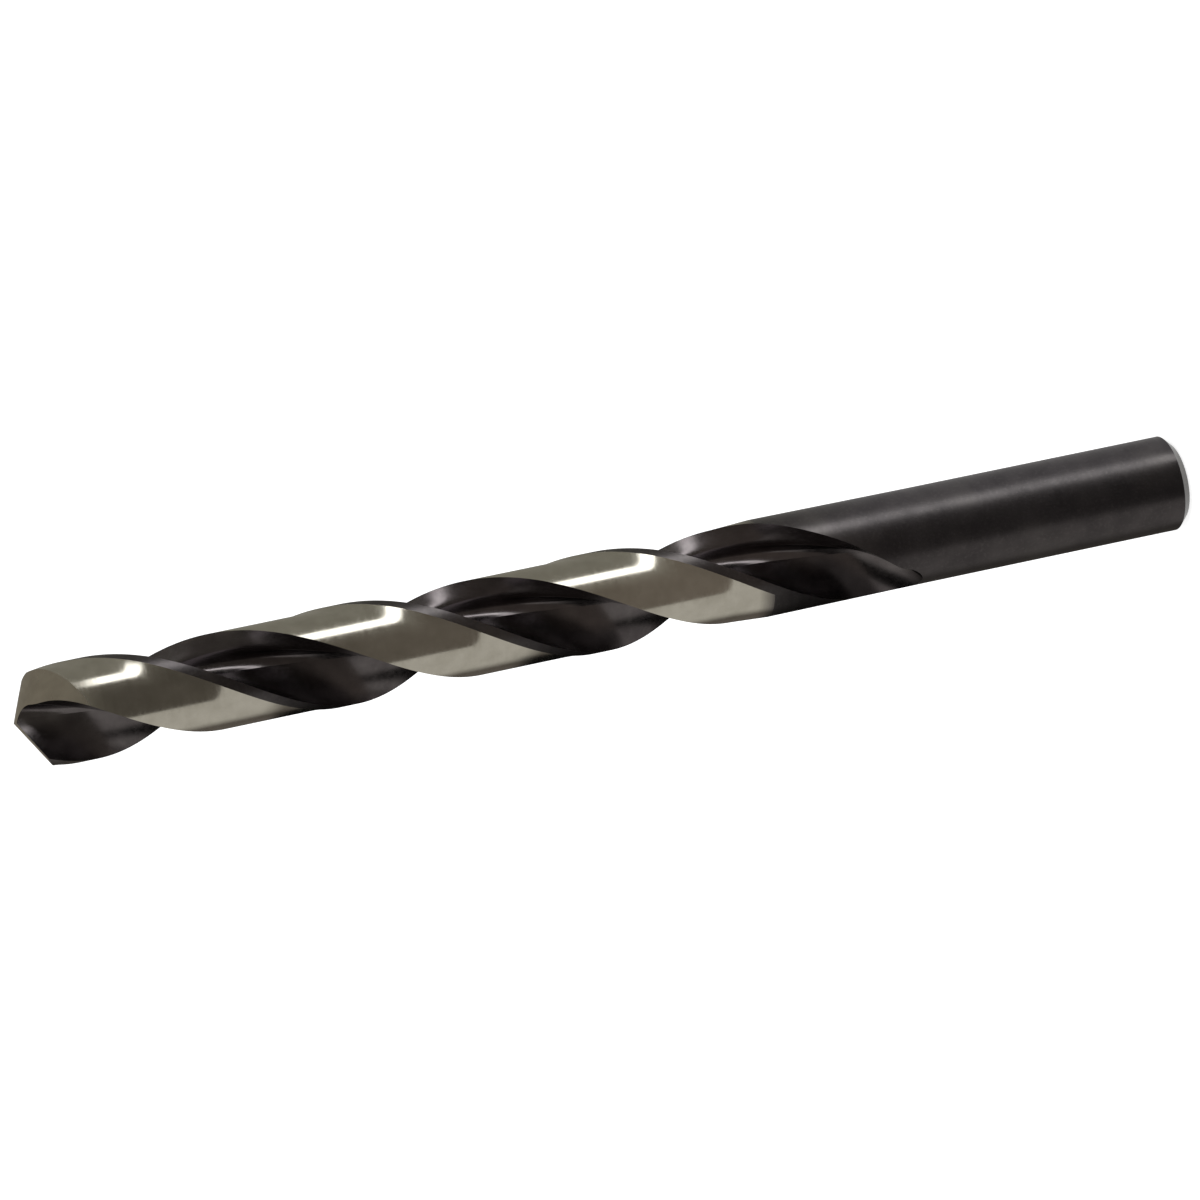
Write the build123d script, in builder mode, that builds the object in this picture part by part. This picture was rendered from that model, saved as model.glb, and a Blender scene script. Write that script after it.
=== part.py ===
"""Twist drill bit: one solid bar of high-speed steel, ground all over.

The bit stands on the flat end of its shank. Z is its axis and runs up to the
point. Two right-hand helical flutes start at the point and fade out into the
plain shank. Each land between them keeps a narrow margin at the full diameter
and is ground back behind it. Two leaning cones shape the point, and where they
meet they leave the chisel edge.
"""

from build123d import *
from math import acos, asin, atan2, ceil, cos, degrees, radians, sin, sqrt, tan
import os

# Overall sizes, in millimetres and degrees
DRILL_DIAMETER = 11.906
OVERALL_LENGTH = 146.05
SHANK_DIAMETER = 11.68
SHANK_CHAMFER = 1.05

# Flutes
HELIX_LEAD = 63.0
WEB_THICKNESS = 1.79
LAND_ANGLE = 92.5
RAKE_STEPS = 5
FLUTE_LENGTH = 112.0
RUN_OUT_LENGTH = 12.0
RUN_OUT_SLANT = 72.0
RUN_OUT_STEPS = 8
FLOOR_RADIUS = 1.30
FLOOR_ANGLE = 83.0
HEEL_RIDGE_RADIUS = 2.70
HEEL_RIDGE_ANGLE = 74.0
HEEL_DIRECTION = 108.0

# Lands
MARGIN_WIDTH = 1.30
CLEARANCE_DEPTH = 0.30
CLEARANCE_BLEND = 1.80
CLEARANCE_PAST_HEEL = 5.0
CLEARANCE_LENGTH = 92.0
CLEARANCE_FADE = 5.0

# Point
POINT_ANGLE = 135.0
GRIND_LEAN = 33.0
GRIND_SKEW = 12.7
GRIND_AHEAD = 0.31
GRIND_BACK = 5.97

# How far the cutting shapes reach past what they cut, and how steeply the margin's
# curve meets the land
OVERCUT = 1.5
LAND_CROSSING = 0.01

# Sizes that follow from the ones above
drill_radius = DRILL_DIAMETER / 2
shank_radius = SHANK_DIAMETER / 2
half_web = WEB_THICKNESS / 2
land_radius = drill_radius - CLEARANCE_DEPTH
outside = drill_radius + OVERCUT
turn_per_mm = 360 / HELIX_LEAD
longest_run = HELIX_LEAD / 4

corner_height = OVERALL_LENGTH - drill_radius / tan(radians(POINT_ANGLE / 2))
flute_end = OVERALL_LENGTH - FLUTE_LENGTH
flute_full = flute_end + RUN_OUT_LENGTH
clearance_end = OVERALL_LENGTH - CLEARANCE_LENGTH
body_start = clearance_end + CLEARANCE_FADE
above_point = OVERALL_LENGTH + OVERCUT
grind_length = OVERALL_LENGTH + DRILL_DIAMETER
body_runs = ceil((above_point - body_start) / longest_run)
run_length = (above_point - body_start) / body_runs


def polar(radius, angle):
    """A point in the cross-section, from its radius and its angle."""
    return Vector(radius * cos(radians(angle)), radius * sin(radians(angle)))


def section_plane(height, shift=0.0):
    """The cross-section's plane at a height, turned with the helix.

    The shift draws it out sideways, where the cutter leaves the bar.
    """
    angle = turn_per_mm * (height - corner_height)
    centre = polar(shift, angle + RUN_OUT_SLANT)
    return Plane(origin=(centre.X, centre.Y, height), x_dir=tuple(polar(1, angle)), z_dir=(0, 0, 1))


def rake_point(radius):
    """A point of the flute's cutting side, which makes the lip a straight line."""
    reach = sqrt(max(radius**2 - half_web**2, 0))
    full_reach = sqrt(drill_radius**2 - half_web**2)
    lip_turn = degrees(asin(half_web / radius) - asin(half_web / drill_radius))
    helix_turn = turn_per_mm * (full_reach - reach) / tan(radians(POINT_ANGLE / 2))
    return polar(radius, lip_turn - helix_turn)


def flute_outline():
    """One flute in cross-section: cutting side, rounded web, floor, ridge and heel side."""
    web = rake_point(half_web)
    web_angle = degrees(atan2(web.Y, web.X))
    shares = [(step / RAKE_STEPS) ** 2 for step in range(RAKE_STEPS + 1)]
    cutting_side = [rake_point(half_web + (drill_radius - half_web) * share) for share in shares]
    floor = polar(FLOOR_RADIUS, FLOOR_ANGLE)
    ridge = polar(HEEL_RIDGE_RADIUS, HEEL_RIDGE_ANGLE)
    heel = polar(drill_radius, 180 - LAND_ANGLE)
    beyond_heel = polar(outside * sqrt(2), 180 - LAND_ANGLE)
    with BuildSketch(Plane.XY) as outline:
        with BuildLine():
            Spline(*cutting_side)
            Polyline(cutting_side[-1], (outside, 0), (outside, outside), beyond_heel, heel)
            TangentArc(web, floor, tangent=polar(1, web_angle + 90))
            Line(floor, ridge)
            TangentArc(ridge, heel, tangent=polar(1, HEEL_DIRECTION))
        make_face()
    return outline.sketch


def clearance_outline():
    """What is ground off one land, from its heel up to the back of its margin.

    It reaches deeper than the land, whose round surface is kept by the cylinder in land_cut.
    """
    margin_angle = -degrees(MARGIN_WIDTH / drill_radius)
    blend_angle = margin_angle - degrees(CLEARANCE_BLEND / drill_radius)
    past_heel = -LAND_ANGLE - CLEARANCE_PAST_HEEL
    middle = (past_heel + blend_angle) / 2
    foot = polar(land_radius - LAND_CROSSING, blend_angle)
    deep = land_radius - OVERCUT
    with BuildSketch(Plane.XY) as outline:
        with BuildLine():
            ThreePointArc(polar(deep, past_heel), polar(deep, middle), polar(deep, blend_angle))
            Line(polar(deep, blend_angle), foot)
            TangentArc(foot, polar(drill_radius, margin_angle), tangent=polar(1, blend_angle + 90))
            Line(polar(drill_radius, margin_angle), polar(outside, margin_angle))
            ThreePointArc(polar(outside, margin_angle), polar(outside, middle), polar(outside, past_heel))
            Line(polar(outside, past_heel), polar(deep, past_heel))
        make_face()
    return outline.sketch


def helical_run(section, low, high):
    """The solid that a cross-section sweeps out along the helix."""
    with BuildPart() as run:
        with BuildSketch(section_plane(low)):
            add(section)
        with BuildLine():
            axis = Line((0, 0, low), (0, 0, high))
        guide = Helix(HELIX_LEAD, high - low, drill_radius, center=(0, 0, low), mode=Mode.PRIVATE)
        sweep(path=axis, binormal=guide)
    return run.part


flute = flute_outline()
clearance = clearance_outline()

# One flute's way out of the bar: the same outline, drawn out sideways in growing steps
with BuildPart() as run_out:
    for step in range(RUN_OUT_STEPS + 1):
        share = step / RUN_OUT_STEPS
        height = flute_full - RUN_OUT_LENGTH * share
        with BuildSketch(section_plane(height, drill_radius * share**2)):
            add(flute)
    loft()

# The way out of one land's clearance, kept off the bar by a collar that flares towards the shank
with BuildPart() as clearance_fade:
    add(helical_run(clearance, clearance_end, body_start))
    with Locations((0, 0, clearance_end)):
        Cone(
            bottom_radius=drill_radius,
            top_radius=land_radius,
            height=CLEARANCE_FADE,
            align=(Align.CENTER, Align.CENTER, Align.MIN),
            mode=Mode.SUBTRACT,
        )

# The two cones that grind the point, with their tips at the height of the XY plane. Each
# is as wide as it takes for its side to run along the lip.
half_point = radians(POINT_ANGLE / 2)
lean_across = sin(radians(GRIND_LEAN)) * cos(radians(GRIND_SKEW))
lean_ahead = sin(radians(GRIND_LEAN)) * sin(radians(GRIND_SKEW))
lean_up = cos(radians(GRIND_LEAN))
half_cone = acos(lean_across * sin(half_point) + lean_up * cos(half_point))
point_cones = []
for side in (1, -1):
    tip_plane = Plane(
        origin=(-side * GRIND_BACK, side * GRIND_AHEAD, 0),
        z_dir=(-side * lean_across, -side * lean_ahead, lean_up),
    )
    with BuildPart() as cone:
        with Locations(tip_plane):
            Cone(
                bottom_radius=grind_length * tan(half_cone),
                top_radius=0,
                height=grind_length,
                align=(Align.CENTER, Align.CENTER, Align.MAX),
            )
    point_cones.append(cone.part)

# A plain stub with the same point shows how far the chisel edge lies below those tips
with BuildPart() as stub:
    Cylinder(drill_radius, DRILL_DIAMETER, align=(Align.CENTER, Align.CENTER, Align.MAX))
    for cone in point_cones:
        add(cone, mode=Mode.INTERSECT)
chisel_drop = -stub.part.bounding_box().max.Z

# One run of the fluted body, which repeats up the bit with the turn of the helix
with BuildPart() as land_cut:
    add(helical_run(clearance, body_start, body_start + run_length))
    with Locations((0, 0, body_start - OVERCUT)):
        Cylinder(
            land_radius,
            run_length + 2 * OVERCUT,
            align=(Align.CENTER, Align.CENTER, Align.MIN),
            mode=Mode.SUBTRACT,
        )
with BuildPart() as body_run:
    with Locations((0, 0, body_start)):
        Cylinder(drill_radius, run_length, align=(Align.CENTER, Align.CENTER, Align.MIN))
    with PolarLocations(0, 2):
        add(land_cut.part, mode=Mode.SUBTRACT)
        add(helical_run(flute, body_start, body_start + run_length), mode=Mode.SUBTRACT)

# The bit, from its plain shank up
with BuildPart() as drill_bit:
    with BuildSketch(Plane.XZ):
        with BuildLine():
            Polyline(
                (0, 0),
                (shank_radius - SHANK_CHAMFER, 0),
                (shank_radius, SHANK_CHAMFER),
                (shank_radius, flute_end),
                (drill_radius, body_start),
                (0, body_start),
                close=True,
            )
        make_face()
    revolve(axis=Axis.Z)

    # Where the flutes and the clearance begin
    with PolarLocations(0, 2):
        add(run_out.part, mode=Mode.SUBTRACT)
        add(helical_run(flute, flute_full, body_start), mode=Mode.SUBTRACT)
        add(clearance_fade.part, mode=Mode.SUBTRACT)

    # The fluted body, past where the point will be
    for run in range(body_runs):
        rise = run * run_length
        add(Pos(0, 0, rise) * Rot(0, 0, turn_per_mm * rise) * body_run.part)

    # The point
    for cone in point_cones:
        add(Pos(0, 0, OVERALL_LENGTH + chisel_drop) * cone, mode=Mode.INTERSECT)

drill_bit.part.label = "drill_bit"
os.makedirs("parts", exist_ok=True)
export_step(drill_bit.part, "parts/drill_bit.step")
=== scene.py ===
"""Visual model of the twist drill bit, with its studio.

The bit is one piece. Its surface is cut here with the sizes of the CAD model, but finely
enough for mirror-like lands, and each ground region gets its own finish. Two shapes
differ on purpose, to follow the photograph's reflections: the flutes have a rounder and
deeper bottom, and the lands blend more gently into their margins.
"""

from math import acos, asin, atan2, ceil, cos, degrees, pi, radians, sin, sqrt, tan

import bpy
from mathutils import Matrix, Vector


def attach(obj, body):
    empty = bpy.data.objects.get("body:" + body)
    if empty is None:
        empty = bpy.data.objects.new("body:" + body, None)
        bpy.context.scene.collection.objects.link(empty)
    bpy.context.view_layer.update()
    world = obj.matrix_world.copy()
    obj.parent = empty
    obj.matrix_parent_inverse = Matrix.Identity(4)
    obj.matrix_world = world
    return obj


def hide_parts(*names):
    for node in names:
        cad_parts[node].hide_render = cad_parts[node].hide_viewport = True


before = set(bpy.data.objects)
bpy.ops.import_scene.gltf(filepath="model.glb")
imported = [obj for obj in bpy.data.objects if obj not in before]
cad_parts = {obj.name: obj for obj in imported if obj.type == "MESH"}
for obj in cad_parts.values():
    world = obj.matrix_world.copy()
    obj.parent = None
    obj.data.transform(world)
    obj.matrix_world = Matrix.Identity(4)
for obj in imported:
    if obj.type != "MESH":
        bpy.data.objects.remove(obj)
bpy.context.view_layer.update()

MM = 0.001

# The bit, in millimetres and degrees, as in the CAD model
DRILL_DIAMETER = 11.906
OVERALL_LENGTH = 146.05
SHANK_DIAMETER = 11.68
SHANK_CHAMFER = 1.05
HELIX_LEAD = 63.0
WEB_THICKNESS = 1.79
LAND_ANGLE = 92.5
FLUTE_LENGTH = 112.0
RUN_OUT_LENGTH = 12.0
RUN_OUT_SLANT = 72.0
MARGIN_WIDTH = 1.30
CLEARANCE_DEPTH = 0.30
CLEARANCE_PAST_HEEL = 5.0
CLEARANCE_LENGTH = 92.0
CLEARANCE_FADE = 5.0
POINT_ANGLE = 135.0
GRIND_LEAN = 33.0
GRIND_SKEW = 12.7
GRIND_AHEAD = 0.31
GRIND_BACK = 5.97
OVERCUT = 1.5

# The flutes' bottom and the lands' blend, shaped by the photograph's reflections
HEEL_RIDGE_RADIUS = 3.10
HEEL_RIDGE_ANGLE = 82.0
HEEL_DIRECTION = 98.0
RIDGE_PASSES = 50
CLEARANCE_BLEND = 2.40
BLEND_POWER = 2.5

# How finely the surface is cut. The power crowds the rake's points towards the web.
LEVEL_STEP = 0.8
ROUND_STEPS = 240
CONE_STEPS = 900
RAKE_STEPS = 30
RAKE_POWER = 1.5
BOTTOM_STEPS = 36
HEEL_STEPS = 26
LAND_STEPS = 64
BLEND_STEPS = 20
OUTER_STEPS = 8
SHARP_ANGLE = 12.0

drill_radius = DRILL_DIAMETER / 2
shank_radius = SHANK_DIAMETER / 2
half_web = WEB_THICKNESS / 2
land_radius = drill_radius - CLEARANCE_DEPTH
outside = drill_radius + OVERCUT
half_point = radians(POINT_ANGLE / 2)
turn_per_mm = 360 / HELIX_LEAD
corner_height = OVERALL_LENGTH - drill_radius / tan(half_point)
flute_end = OVERALL_LENGTH - FLUTE_LENGTH
flute_full = flute_end + RUN_OUT_LENGTH
clearance_end = OVERALL_LENGTH - CLEARANCE_LENGTH
body_start = clearance_end + CLEARANCE_FADE
above_point = OVERALL_LENGTH + OVERCUT

# Each grinding cone leans across the lips and a little ahead of them. The chisel edge
# lies below the cones' tips by chisel_drop, where both cones cross the bit's axis. That
# drop is the root of a quadratic, with these terms.
lean_across = sin(radians(GRIND_LEAN)) * cos(radians(GRIND_SKEW))
lean_ahead = sin(radians(GRIND_LEAN)) * sin(radians(GRIND_SKEW))
lean_up = cos(radians(GRIND_LEAN))
half_cone = acos(lean_across * sin(half_point) + lean_up * cos(half_point))
tip_offset = GRIND_BACK**2 + GRIND_AHEAD**2
along = GRIND_BACK * lean_across - GRIND_AHEAD * lean_ahead
square_term = lean_up**2 - cos(half_cone) ** 2
half_middle_term = along * lean_up
rest_term = along**2 - cos(half_cone) ** 2 * tip_offset
root = sqrt(half_middle_term**2 - square_term * rest_term)
chisel_drop = (root - half_middle_term) / square_term


# --------------------------------------------------------- outlines across the bit


def polar(radius, angle):
    """A point in the cross-section, from its radius and its angle."""
    return Vector((radius * cos(radians(angle)), radius * sin(radians(angle))))


def arc(start, end, direction, steps):
    """Points on the arc from start, which it leaves in that direction, up to but not at end."""
    normal = Vector((-direction.y, direction.x)).normalized()
    chord = end - start
    radius = chord.length_squared / (2 * chord.dot(normal))
    centre = start + normal * radius
    first = start - centre
    last = end - centre
    sweep = atan2(first.x * last.y - first.y * last.x, first.dot(last))
    if radius > 0 and sweep < 0:
        sweep += 2 * pi
    if radius < 0 and sweep > 0:
        sweep -= 2 * pi
    points = []
    for step in range(steps):
        points.append(centre + Matrix.Rotation(sweep * step / steps, 2) @ first)
    return points


def rake_point(radius):
    """A point of the flute's cutting side, which makes the lip a straight line."""
    reach = sqrt(max(radius**2 - half_web**2, 0))
    full_reach = sqrt(drill_radius**2 - half_web**2)
    lip_turn = degrees(asin(half_web / radius) - asin(half_web / drill_radius))
    helix_turn = turn_per_mm * (full_reach - reach) / tan(half_point)
    return polar(radius, lip_turn - helix_turn)


def rounded(points, passes):
    """The points with the corners between them worn round. The first and last stay."""
    for repeat in range(passes):
        middle = []
        for before, point, after in zip(points, points[1:], points[2:]):
            middle.append((before + point * 2 + after) / 4)
        points = [points[0]] + middle + [points[-1]]
    return points


def flute_outline():
    """One flute in cross-section: cutting side, rounded bottom and ridge, heel side."""
    cutting_side = []
    for step in range(RAKE_STEPS, 0, -1):
        share = (step / RAKE_STEPS) ** RAKE_POWER
        cutting_side.append(rake_point(half_web + (drill_radius - half_web) * share))
    web = rake_point(half_web)
    ridge = polar(HEEL_RIDGE_RADIUS, HEEL_RIDGE_ANGLE)
    heel = polar(drill_radius, 180 - LAND_ANGLE)
    bottom = arc(web, ridge, Vector((-web.y, web.x)).normalized(), BOTTOM_STEPS)
    heel_side = arc(ridge, heel, polar(1, HEEL_DIRECTION), HEEL_STEPS)
    beyond_heel = polar(outside * sqrt(2), 180 - LAND_ANGLE)
    corners = [beyond_heel, Vector((outside, outside)), Vector((outside, 0))]
    outline = cutting_side + rounded(bottom + heel_side + [heel], RIDGE_PASSES) + corners
    outline.reverse()
    return outline


def clearance_outline(kept_radius):
    """What is ground off one land outside kept_radius, from its heel to its margin."""
    margin_angle = -degrees(MARGIN_WIDTH / drill_radius)
    blend_angle = margin_angle - degrees(CLEARANCE_BLEND / drill_radius)
    past_heel = -LAND_ANGLE - CLEARANCE_PAST_HEEL
    land = []
    for step in range(LAND_STEPS):
        angle = past_heel + (blend_angle - past_heel) * step / LAND_STEPS
        land.append(polar(land_radius, angle))
    for step in range(BLEND_STEPS):
        share = step / BLEND_STEPS
        radius = land_radius + CLEARANCE_DEPTH * share**BLEND_POWER
        land.append(polar(radius, blend_angle + (margin_angle - blend_angle) * share))
    lifted = [point * max(kept_radius / point.length, 1) for point in land]
    outer = []
    for step in range(OUTER_STEPS + 1):
        angle = margin_angle + (past_heel - margin_angle) * step / OUTER_STEPS
        outer.append(polar(outside, angle))
    outline = lifted + [polar(drill_radius, margin_angle)] + outer
    outline.reverse()
    return outline


# ---------------------------------------------------- the bar and what is ground off


def new_object(name, vertices, faces):
    """A mesh object in the scene, from vertices in metres."""
    mesh = bpy.data.meshes.new(name)
    mesh.from_pydata([tuple(vertex) for vertex in vertices], [], faces)
    mesh.update()
    thing = bpy.data.objects.new(name, mesh)
    bpy.context.scene.collection.objects.link(thing)
    return thing


def tube(name, rings):
    """A closed solid through rings of points that are all alike in number."""
    count = len(rings[0])
    vertices = [point * MM for ring in rings for point in ring]
    faces = []
    for level in range(len(rings) - 1):
        low = level * count
        high = low + count
        for index in range(count):
            after = (index + 1) % count
            faces.append((low + index, low + after, high + after, high + index))
    faces.append(tuple(reversed(range(count))))
    faces.append(tuple(range(len(vertices) - count, len(vertices))))
    return new_object(name, vertices, faces)


def level_heights(low, high):
    """Heights from low to high, about a level step apart."""
    steps = ceil((high - low) / LEVEL_STEP)
    return [low + (high - low) * step / steps for step in range(steps + 1)]


def turned(outline, height, side, shift=0.0):
    """The outline as it lies at a height, turned with the helix and drawn out sideways."""
    angle = turn_per_mm * (height - corner_height) + side
    matrix = Matrix.Rotation(radians(angle), 2)
    centre = polar(shift, angle + RUN_OUT_SLANT)
    return [Vector((*(matrix @ point + centre), height)) for point in outline]


def flute_cutter(side):
    """The space that one flute takes out of the bar."""
    outline = flute_outline()
    rings = []
    for height in level_heights(flute_end, flute_full)[:-1]:
        share = (flute_full - height) / RUN_OUT_LENGTH
        rings.append(turned(outline, height, side, drill_radius * share**2))
    for height in level_heights(flute_full, above_point):
        rings.append(turned(outline, height, side))
    return tube("flute_cutter", rings)


def clearance_cutter(side):
    """The space that the clearance of one land takes out of the bar."""
    rings = []
    for height in level_heights(clearance_end, body_start)[:-1]:
        share = (height - clearance_end) / CLEARANCE_FADE
        kept_radius = drill_radius + (land_radius - drill_radius) * share
        rings.append(turned(clearance_outline(kept_radius), height, side))
    for height in level_heights(body_start, above_point):
        rings.append(turned(clearance_outline(land_radius), height, side))
    return tube("clearance_cutter", rings)


def bar():
    """The bar before its flutes are ground: shank, chamfer and a taper up to the body."""
    profile = [(shank_radius - SHANK_CHAMFER, 0), (shank_radius, SHANK_CHAMFER)]
    for height in level_heights(SHANK_CHAMFER, flute_end)[1:]:
        profile.append((shank_radius, height))
    for height in level_heights(flute_end, body_start)[1:]:
        share = (height - flute_end) / (body_start - flute_end)
        profile.append((shank_radius + (drill_radius - shank_radius) * share, height))
    for height in level_heights(body_start, above_point)[1:]:
        profile.append((drill_radius, height))
    angles = [360 * step / ROUND_STEPS for step in range(ROUND_STEPS)]
    rings = []
    for radius, height in profile:
        rings.append([Vector((*polar(radius, angle), height)) for angle in angles])
    return tube("drill_bit_surface", rings)


def point_cone(side):
    """One of the two leaning cones that shape the point."""
    length = OVERALL_LENGTH + DRILL_DIAMETER
    radius = length * tan(half_cone)
    direction = Vector((-side * lean_across, -side * lean_ahead, lean_up))
    leaning = Vector((0, 0, 1)).rotation_difference(direction).to_matrix()
    tip = Vector((-side * GRIND_BACK, side * GRIND_AHEAD, OVERALL_LENGTH + chisel_drop))
    vertices = [tip * MM]
    faces = []
    for step in range(CONE_STEPS):
        rim_point = Vector((*polar(radius, 360 * step / CONE_STEPS), -length))
        vertices.append((tip + leaning @ rim_point) * MM)
        faces.append((0, 1 + step, 1 + (step + 1) % CONE_STEPS))
    faces.append(tuple(range(CONE_STEPS, 0, -1)))
    return new_object("point_cone", vertices, faces)


def cut(target, tool, operation):
    """Cuts target with tool, or keeps what both hold, and deletes the tool."""
    modifier = target.modifiers.new("cut", "BOOLEAN")
    modifier.operation = operation
    modifier.solver = "MANIFOLD"
    modifier.object = tool
    evaluated = target.evaluated_get(bpy.context.evaluated_depsgraph_get())
    mesh = bpy.data.meshes.new_from_object(evaluated)
    target.modifiers.clear()
    target.data = mesh
    bpy.data.objects.remove(tool)


def use_material(thing, materials, index):
    """Gives a shape the materials of the bit, and all its faces the one at index."""
    for material in materials:
        thing.data.materials.append(material)
    thing.data.polygons.foreach_set("material_index", [index] * len(thing.data.polygons))


def part_finishes(mesh):
    """Makes every edge between two finishes a sharp one."""
    finishes = {}
    for polygon in mesh.polygons:
        for key in polygon.edge_keys:
            finishes.setdefault(key, set()).add(polygon.material_index)
    for edge in mesh.edges:
        if len(finishes[edge.key]) > 1:
            edge.use_edge_sharp = True


# --------------------------------------------------------------- what materials share

# Nearly all of a noise lies between these values
NOISE_RANGE = (0.3, 0.7)


def new_material(name):
    """An empty node material, with its node tree and where its surface goes."""
    material = bpy.data.materials.new(name)
    material.use_nodes = True
    material.node_tree.nodes.clear()
    output = material.node_tree.nodes.new("ShaderNodeOutputMaterial")
    return material, material.node_tree, output.inputs["Surface"]


def new_metal(name):
    """A new material of bare metal, with its node tree and its shader."""
    material, tree, surface = new_material(name)
    shader = tree.nodes.new("ShaderNodeBsdfPrincipled")
    shader.inputs["Metallic"].default_value = 1.0
    tree.links.new(shader.outputs[0], surface)
    return material, tree, shader


def object_height(tree):
    """The height above the floor, in metres."""
    place = tree.nodes.new("ShaderNodeTexCoord")
    parts = tree.nodes.new("ShaderNodeSeparateXYZ")
    tree.links.new(place.outputs["Object"], parts.inputs[0])
    return parts.outputs["Z"]


def noise(tree, scale, detail, stretch=(1.0, 1.0, 1.0)):
    """Noise laid over the bit in its own metres, stretched by a factor for each axis."""
    place = tree.nodes.new("ShaderNodeTexCoord")
    mapping = tree.nodes.new("ShaderNodeMapping")
    mapping.inputs["Scale"].default_value = stretch
    tree.links.new(place.outputs["Object"], mapping.inputs["Vector"])
    texture = tree.nodes.new("ShaderNodeTexNoise")
    texture.inputs["Scale"].default_value = scale
    texture.inputs["Detail"].default_value = detail
    tree.links.new(mapping.outputs[0], texture.inputs["Vector"])
    return texture.outputs[0]


def spread(tree, value, low, high, source=NOISE_RANGE):
    """A value that runs from low to high while the given one runs through its source."""
    mapped = tree.nodes.new("ShaderNodeMapRange")
    mapped.inputs["From Min"].default_value = source[0]
    mapped.inputs["From Max"].default_value = source[1]
    mapped.inputs["To Min"].default_value = low
    mapped.inputs["To Max"].default_value = high
    tree.links.new(value, mapped.inputs["Value"])
    return mapped.outputs[0]


def blend_colours(tree, share, first, second):
    """A colour between two, by share. Each may be a colour or another node's output."""
    mix = tree.nodes.new("ShaderNodeMix")
    mix.data_type = "RGBA"
    tree.links.new(share, mix.inputs["Factor"])
    colours = [item for item in mix.inputs if item.type == "RGBA"]
    for socket, colour in zip(colours, (first, second)):
        if isinstance(colour, tuple):
            socket.default_value = (*colour, 1)
        else:
            tree.links.new(colour, socket)
    return next(item for item in mix.outputs if item.type == "RGBA")


def bumps(tree, shader, height, strength, depth):
    """Fine relief on a shader."""
    bump = tree.nodes.new("ShaderNodeBump")
    bump.inputs["Strength"].default_value = strength
    bump.inputs["Distance"].default_value = depth
    tree.links.new(height, bump.inputs["Height"])
    tree.links.new(bump.outputs[0], shader.inputs["Normal"])


# ------------------------------------------------------------------- the finishes

# Turning and grinding leave rings round the bit
RING_STRETCH = (0.02, 0.02, 1.0)

OXIDE_DARK = (0.082, 0.076, 0.081)
OXIDE_LIGHT = (0.116, 0.108, 0.113)
OXIDE_ROUGHNESS = (0.31, 0.38)
OXIDE_SPECK = (0.15, 0.14, 0.145)
SPECK_SHARE = 0.35
SPECK_RANGE = (0.52, 0.7)
OXIDE_RUBBED = (0.19, 0.18, 0.175)
RUBBED_SHARE = 0.3
RUBBED_RANGE = (0.52, 0.72)

# The shank's chamfer is painted lighter than the oxide, a painted highlight, which ends over
# its last tenth
CHAMFER_PAINTED_HIGHLIGHT = (0.13, 0.125, 0.12)
CHAMFER_SHARE = 0.9

FLUTE_DARK = (0.115, 0.104, 0.111)
FLUTE_LIGHT = (0.170, 0.157, 0.165)
FLUTE_ROUGHNESS = (0.20, 0.27)

# The lands darken over this length, in millimetres, where their clearance ends
TAIL_COLOUR = (0.10, 0.09, 0.095)
TAIL_LENGTH = 2.2

LAND_DARK = (0.50, 0.48, 0.43)
LAND_LIGHT = (0.58, 0.56, 0.51)
LAND_ROUGHNESS = 0.17
POINT_DARK = (0.43, 0.40, 0.35)
POINT_LIGHT = (0.52, 0.49, 0.43)
POINT_ROUGHNESS = 0.34
UNEVENNESS = 0.25


def black_oxide():
    """Black oxide on the turned shank: satin, with rings, blotches, specks and rubbing, and a
    painted highlight on the chamfer.
    """
    material, tree, shader = new_metal("black_oxide")
    rings = noise(tree, scale=2600, detail=3, stretch=RING_STRETCH)
    blotches = noise(tree, scale=330, detail=4)
    specks = noise(tree, scale=2400, detail=2)
    patches = noise(tree, scale=120, detail=3)
    stained = blend_colours(tree, spread(tree, blotches, 0, 1), OXIDE_DARK, OXIDE_LIGHT)
    specked = spread(tree, specks, 0, SPECK_SHARE, SPECK_RANGE)
    speckled = blend_colours(tree, specked, stained, OXIDE_SPECK)
    rubbed = spread(tree, patches, 0, RUBBED_SHARE, RUBBED_RANGE)
    worn = blend_colours(tree, rubbed, speckled, OXIDE_RUBBED)
    # The chamfer and the end face below it are painted lighter: a painted highlight, not a
    # finish of their own
    chamfer_end = (SHANK_CHAMFER * MM * CHAMFER_SHARE, SHANK_CHAMFER * MM)
    chamfer_highlight_mask = spread(tree, object_height(tree), 1, 0, chamfer_end)
    colour = blend_colours(tree, chamfer_highlight_mask, worn, CHAMFER_PAINTED_HIGHLIGHT)
    tree.links.new(colour, shader.inputs["Base Color"])
    tree.links.new(spread(tree, rings, *OXIDE_ROUGHNESS), shader.inputs["Roughness"])
    bumps(tree, shader, rings, strength=0.05, depth=0.00001)
    return material


def flute_oxide():
    """The smoother black in the flutes, with faint clouds."""
    material, tree, shader = new_metal("flute_oxide")
    clouds = noise(tree, scale=420, detail=4)
    grain = noise(tree, scale=1900, detail=3)
    colour = blend_colours(tree, spread(tree, clouds, 0, 1), FLUTE_DARK, FLUTE_LIGHT)
    tree.links.new(colour, shader.inputs["Base Color"])
    tree.links.new(spread(tree, grain, *FLUTE_ROUGHNESS), shader.inputs["Roughness"])
    bumps(tree, shader, grain, strength=0.04, depth=0.00001)
    return material


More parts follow.
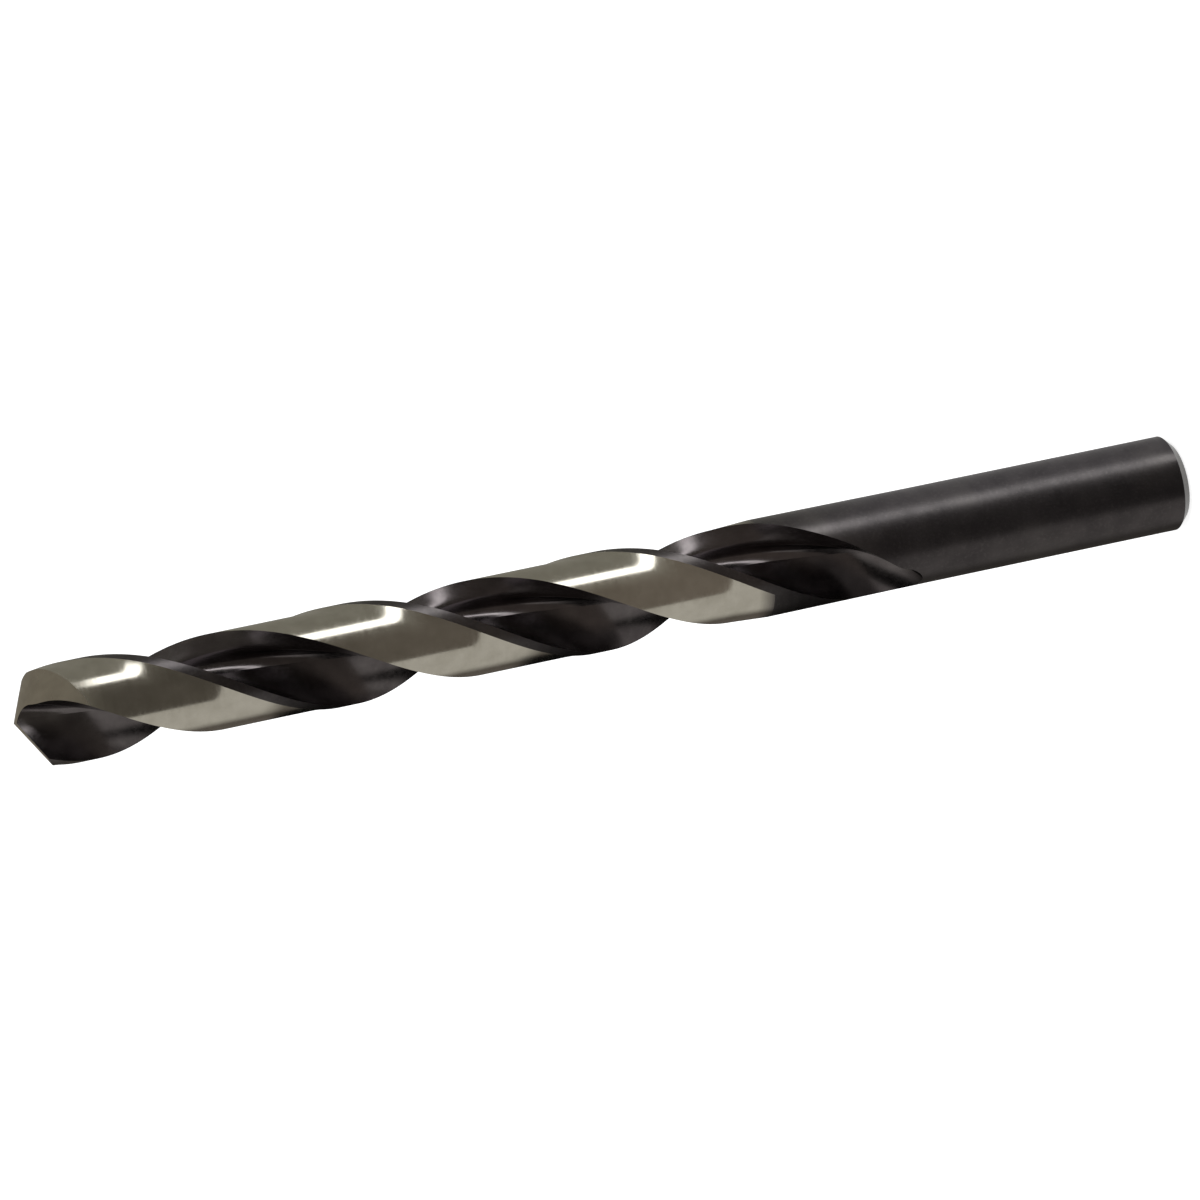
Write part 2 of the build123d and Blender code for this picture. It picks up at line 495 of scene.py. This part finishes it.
def ground_steel(name, dark, light, roughness):
    """Bright steel as a grinding wheel leaves it: fine rings, a warm cast, faint clouds."""
    material, tree, shader = new_metal(name)
    rings = noise(tree, scale=3000, detail=3, stretch=RING_STRETCH)
    clouds = noise(tree, scale=500, detail=3)
    bright = blend_colours(tree, spread(tree, clouds, 0, 1), dark, light)
    tail = (clearance_end * MM, (clearance_end + TAIL_LENGTH) * MM)
    beyond_tail = spread(tree, object_height(tree), 0, 1, tail)
    colour = blend_colours(tree, beyond_tail, TAIL_COLOUR, bright)
    smoothest = roughness * (1 - UNEVENNESS)
    roughest = roughness * (1 + UNEVENNESS)
    tree.links.new(colour, shader.inputs["Base Color"])
    tree.links.new(spread(tree, rings, smoothest, roughest), shader.inputs["Roughness"])
    bumps(tree, shader, rings, strength=0.12, depth=0.000005)
    return material


# ------------------------------------------------------------------------ the bit

materials = [
    black_oxide(),
    flute_oxide(),
    ground_steel("ground_land", LAND_DARK, LAND_LIGHT, LAND_ROUGHNESS),
    ground_steel("ground_point", POINT_DARK, POINT_LIGHT, POINT_ROUGHNESS),
]
OXIDE, FLUTE, LAND, POINT = range(4)

bit = bar()
use_material(bit, materials, OXIDE)
for side in (0, 180):
    tool = clearance_cutter(side)
    use_material(tool, materials, LAND)
    cut(bit, tool, "DIFFERENCE")
    tool = flute_cutter(side)
    use_material(tool, materials, FLUTE)
    cut(bit, tool, "DIFFERENCE")
for side in (1, -1):
    tool = point_cone(side)
    use_material(tool, materials, POINT)
    cut(bit, tool, "INTERSECT")
bit.data.shade_smooth()
bit.data.set_sharp_from_angle(angle=radians(SHARP_ANGLE))
part_finishes(bit.data)
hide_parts("drill_bit")
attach(bit, "root")

# --------------------------------------------------------------------- the camera

# The photograph's view, in degrees
VIEW_AZIMUTH = 53.0
VIEW_ELEVATION = 15.5
AXIS_TILT = 11.79

# The photograph is square. These pixels in it are where the apex of the point shows, and
# how long the drill's radius is there.
PHOTO_SIZE = 1200
APEX_X = 14.3
APEX_Y = 723.7
RADIUS_PIXELS = 51.55

# The drill's radius over the camera's distance from the apex
PERSPECTIVE = 0.009
SENSOR = 36.0
NEAREST = 0.01
FARTHEST = 20

toward_view = Vector((cos(radians(VIEW_AZIMUTH)), sin(radians(VIEW_AZIMUTH)), 0))
across = Vector((toward_view.y, -toward_view.x, 0))
elevation = radians(VIEW_ELEVATION)
back = toward_view * cos(elevation) + Vector((0, 0, sin(elevation)))
down_axis = toward_view * sin(elevation) - Vector((0, 0, cos(elevation)))
tilt = radians(AXIS_TILT)
image_right = down_axis * cos(tilt) + across * sin(tilt)
image_down = across * cos(tilt) - down_axis * sin(tilt)

scene = bpy.context.scene
camera_data = bpy.data.cameras.new("camera")
camera = bpy.data.objects.new("camera", camera_data)
scene.collection.objects.link(camera)
scene.camera = camera
distance = drill_radius / PERSPECTIVE * MM
focal = RADIUS_PIXELS / PHOTO_SIZE / PERSPECTIVE
camera_data.sensor_width = SENSOR
camera_data.lens = focal * SENSOR
camera_data.clip_start = NEAREST
camera_data.clip_end = FARTHEST
apex = Vector((0, 0, OVERALL_LENGTH * MM))
right_shift = (APEX_X - PHOTO_SIZE / 2) / PHOTO_SIZE / focal * distance
up_shift = (PHOTO_SIZE / 2 - APEX_Y) / PHOTO_SIZE / focal * distance
camera.location = apex + back * distance - image_right * right_shift + image_down * up_shift
facing = Matrix((image_right, -image_down, back)).transposed().to_4x4()
camera.matrix_world = Matrix.Translation(camera.location) @ facing

# ------------------------------------------------------- the tent of hidden cards

scene.view_settings.view_transform = "Standard"

# Sizes in metres. Round the bit stands a tent of glowing cards, with a hood and a lid.
TENT_RADIUS = 0.030
TENT_LOW = 0.0003
TENT_HIGH = 0.149
HOOD_HIGH = 0.22

# How finely the tent and its hood are bent, in degrees
TENT_STEP = 3
HOOD_STEP = 5
MIRROR_ROUNDS = 8


def around(angle, radius, height):
    """A place round the bit. The angle runs from the camera's side, down the image."""
    place = toward_view * cos(radians(angle)) + across * sin(radians(angle))
    return place * radius + Vector((0, 0, height))


def emission(name, stops):
    """A glowing material whose colour goes with the height. A stop is a height and a colour."""
    material, tree, surface = new_material(name)
    ramp = tree.nodes.new("ShaderNodeValToRGB")
    elements = ramp.color_ramp.elements
    elements.remove(elements[0])
    for index, (height, colour) in enumerate(stops):
        element = elements[0] if index == 0 else elements.new(height / HOOD_HIGH)
        element.position = height / HOOD_HIGH
        element.color = (*colour, 1)
    tree.links.new(spread(tree, object_height(tree), 0, 1, (0, HOOD_HIGH)), ramp.inputs[0])
    glow = tree.nodes.new("ShaderNodeEmission")
    tree.links.new(ramp.outputs[0], glow.inputs["Color"])
    tree.links.new(glow.outputs[0], surface)
    return material


def mirror_place(angle):
    """The place round the shank whose mirror image of the tent lies at that angle."""
    place = angle / 2
    for repeat in range(MIRROR_ROUNDS):
        turn = degrees(asin(shank_radius * MM / TENT_RADIUS * sin(radians(place))))
        place = (angle + turn) / 2
    return place


def hidden_card(name, vertices, faces, stops):
    """A glowing card that only the bit's reflections show."""
    card = new_object(name, vertices, faces)
    card.data.materials.append(emission(name, stops))
    card.visible_camera = False
    card.visible_shadow = False
    card.visible_diffuse = False


def ring_card(name, inner, outer, colour):
    """A ring round the bit. Its inner and its outer edge are each a radius and a height."""
    steps = 360 // HOOD_STEP
    vertices = []
    for step in range(steps + 1):
        vertices.append(around(HOOD_STEP * step - 180, *inner))
        vertices.append(around(HOOD_STEP * step - 180, *outer))
    faces = []
    for low in range(0, 2 * steps, 2):
        faces.append((low, low + 2, low + 3, low + 1))
    hidden_card(name, vertices, faces, [(0.0, colour)])


def tent_card(name, start, end, stops):
    """A strip of the tent between two angles, with its foot drawn in to the shank."""
    steps = ceil((end - start) / TENT_STEP)
    vertices = []
    for step in range(steps + 1):
        angle = start + (end - start) * step / steps
        vertices.append(around(mirror_place(angle), shank_radius * MM, TENT_LOW))
        vertices.append(around(angle, TENT_RADIUS, TENT_LOW))
        vertices.append(around(angle, TENT_RADIUS, TENT_HIGH))
    faces = []
    for low in range(0, 3 * steps, 3):
        faces.append((low, low + 3, low + 4, low + 1))
        faces.append((low + 1, low + 4, low + 5, low + 2))
    hidden_card(name, vertices, faces, stops)


def stops_between(first, last, share):
    """Stops that lie between two other lists of stops at the same heights."""
    stops = []
    for (height, one), (same, other) in zip(first, last):
        stops.append((height, tuple(a + (b - a) * share for a, b in zip(one, other))))
    return stops


def fading_cards(name, start, end, first, last, steps):
    """Narrow strips of the tent that lead from one list of stops to another."""
    for step in range(steps):
        low = start + (end - start) * step / steps
        high = low + (end - start) / steps
        stops = stops_between(first, last, (step + 0.5) / steps)
        tent_card(f"{name}_{step}", low, high, stops)


# Heights on the tent, in metres. The shank mirrors what is below SHANK_SIDE, the lands
# mirror what is above LAND_SIDE, and the tent changes for the tip between the last two.
SHANK_SIDE = 0.030
LAND_SIDE = 0.048
RIM_SIDE = 0.132
TIP_SIDE = 0.134

# Black bands on the tent, half a turn of the helix apart, for the flutes' far ends
BANDS = 3
BAND_FOOT = 0.0345
BAND_HEIGHT = 0.0120
BAND_FADE = 0.0015
BLACK = (0.004, 0.004, 0.004)


def banded(shank_colour, land_colour):
    """Stops of one colour for the shank and one for the lands, with the black bands."""
    stops = []
    below = shank_colour
    for band in range(BANDS):
        foot = BAND_FOOT + band * HELIX_LEAD / 2 * MM
        stops.append((foot, below))
        stops.append((foot + BAND_FADE, BLACK))
        stops.append((foot + BAND_HEIGHT, BLACK))
        stops.append((foot + BAND_HEIGHT + BAND_FADE, land_colour))
        below = land_colour
    return stops


HOOD = (0.27, 0.25, 0.21)
UPPER_LAND = (0.265, 0.255, 0.218)
SOFTBOX_LAND = (3.1, 3.07, 2.95)
UPPER = [(SHANK_SIDE, (0.46, 0.45, 0.44)), (LAND_SIDE, UPPER_LAND)]
SOFTBOX = [
    (SHANK_SIDE, (2.2, 2.2, 2.1)),
    (LAND_SIDE, SOFTBOX_LAND),
    (RIM_SIDE, SOFTBOX_LAND),
    (TIP_SIDE, UPPER_LAND),
]
GLOW = [
    (SHANK_SIDE, (0.17, 0.16, 0.15)),
    (LAND_SIDE, (0.30, 0.28, 0.24)),
    (RIM_SIDE, (0.14, 0.13, 0.11)),
    (TIP_SIDE, (0.20, 0.185, 0.155)),
]
DARK = [
    (SHANK_SIDE, (0.105, 0.097, 0.09)),
    (LAND_SIDE, (0.215, 0.185, 0.155)),
    (RIM_SIDE, (0.09, 0.081, 0.068)),
    (TIP_SIDE, (0.18, 0.168, 0.14)),
]
TABLE = banded((0.43, 0.41, 0.38), (0.58, 0.56, 0.51))
BELOW = banded((0.10, 0.09, 0.08), (0.13, 0.115, 0.10))

# Where the cards start round the bit, in degrees down the image from the camera's side
UPPER_START = -180
SOFTBOX_START = -64
GLOW_START = -47
DARK_START = -20
TABLE_START = 39
EDGE_START = 97
BELOW_START = 117
GLOW_CARDS = 5
EDGE_CARDS = 6

tent_card("card_upper", UPPER_START, SOFTBOX_START, UPPER)
tent_card("card_softbox", SOFTBOX_START, GLOW_START, SOFTBOX)
fading_cards("card_glow", GLOW_START, DARK_START, GLOW, DARK, GLOW_CARDS)
tent_card("card_dark", DARK_START, TABLE_START, DARK)
tent_card("card_table", TABLE_START, EDGE_START, TABLE)
fading_cards("card_edge", EDGE_START, BELOW_START, TABLE, BELOW, EDGE_CARDS)
tent_card("card_below", BELOW_START, UPPER_START + 360, BELOW)
ring_card("card_hood", (TENT_RADIUS, TENT_HIGH), (TENT_RADIUS, HOOD_HIGH), HOOD)
ring_card("card_lid", (0.0, HOOD_HIGH), (TENT_RADIUS, HOOD_HIGH), HOOD)

# ----------------------------------------------------- the floor, the lamp, the world

WHITE = (1, 1, 1, 1)
FLOOR_SIZE = 3.0
FLOOR_HEIGHT = -0.00002
FLOOR_GLOW = 0.75
CLOTH = (0.85, 0.85, 0.85, 1)
LAMP_SIZE = 0.8
LAMP_POWER = 2.0
LAMP_ANGLE = -60
LAMP_REACH = 0.35
LAMP_HEIGHT = 0.9
WORLD_DIMMED = 0.6


def seen_directly(tree):
    """1 where the camera looks, at once or by the metal or through glass, and else 0."""
    path = tree.nodes.new("ShaderNodeLightPath")
    seen = path.outputs["Is Camera Ray"]
    for ray in ("Is Glossy Ray", "Is Transmission Ray"):
        either = tree.nodes.new("ShaderNodeMath")
        either.operation = "MAXIMUM"
        tree.links.new(seen, either.inputs[0])
        tree.links.new(path.outputs[ray], either.inputs[1])
        seen = either.outputs[0]
    return seen


def floor_white():
    """White that the camera and the metal see as white, less the shadows on it."""
    material, tree, surface = new_material("floor_white")
    glow = tree.nodes.new("ShaderNodeEmission")
    glow.inputs["Color"].default_value = WHITE
    strength = spread(tree, seen_directly(tree), 0, FLOOR_GLOW, (0, 1))
    tree.links.new(strength, glow.inputs["Strength"])
    cloth = tree.nodes.new("ShaderNodeBsdfDiffuse")
    cloth.inputs["Color"].default_value = CLOTH
    total = tree.nodes.new("ShaderNodeAddShader")
    tree.links.new(glow.outputs[0], total.inputs[0])
    tree.links.new(cloth.outputs[0], total.inputs[1])
    tree.links.new(total.outputs[0], surface)
    return material


bpy.ops.mesh.primitive_plane_add(size=FLOOR_SIZE, location=(0, 0, FLOOR_HEIGHT))
floor = bpy.context.object
floor.name = "floor"
floor.data.materials.append(floor_white())

# One broad soft lamp over the bit, for the floor
lamp_data = bpy.data.lights.new("lamp", "AREA")
lamp_data.shape = "DISK"
lamp_data.size = LAMP_SIZE
lamp_data.energy = LAMP_POWER
lamp = bpy.data.objects.new("lamp", lamp_data)
lamp.location = around(LAMP_ANGLE, LAMP_REACH, LAMP_HEIGHT)
lamp.rotation_euler = (apex / 2 - lamp.location).to_track_quat("-Z", "Y").to_euler()
lamp.visible_glossy = False
lamp.visible_camera = False
scene.collection.objects.link(lamp)

# The world is white where it is seen, and dimmer as a light
world = bpy.data.worlds.new("studio")
scene.world = world
world.use_nodes = True
sky = world.node_tree
background = sky.nodes["Background"]
background.inputs["Color"].default_value = WHITE
strength = spread(sky, seen_directly(sky), WORLD_DIMMED, 1, (0, 1))
sky.links.new(strength, background.inputs["Strength"])
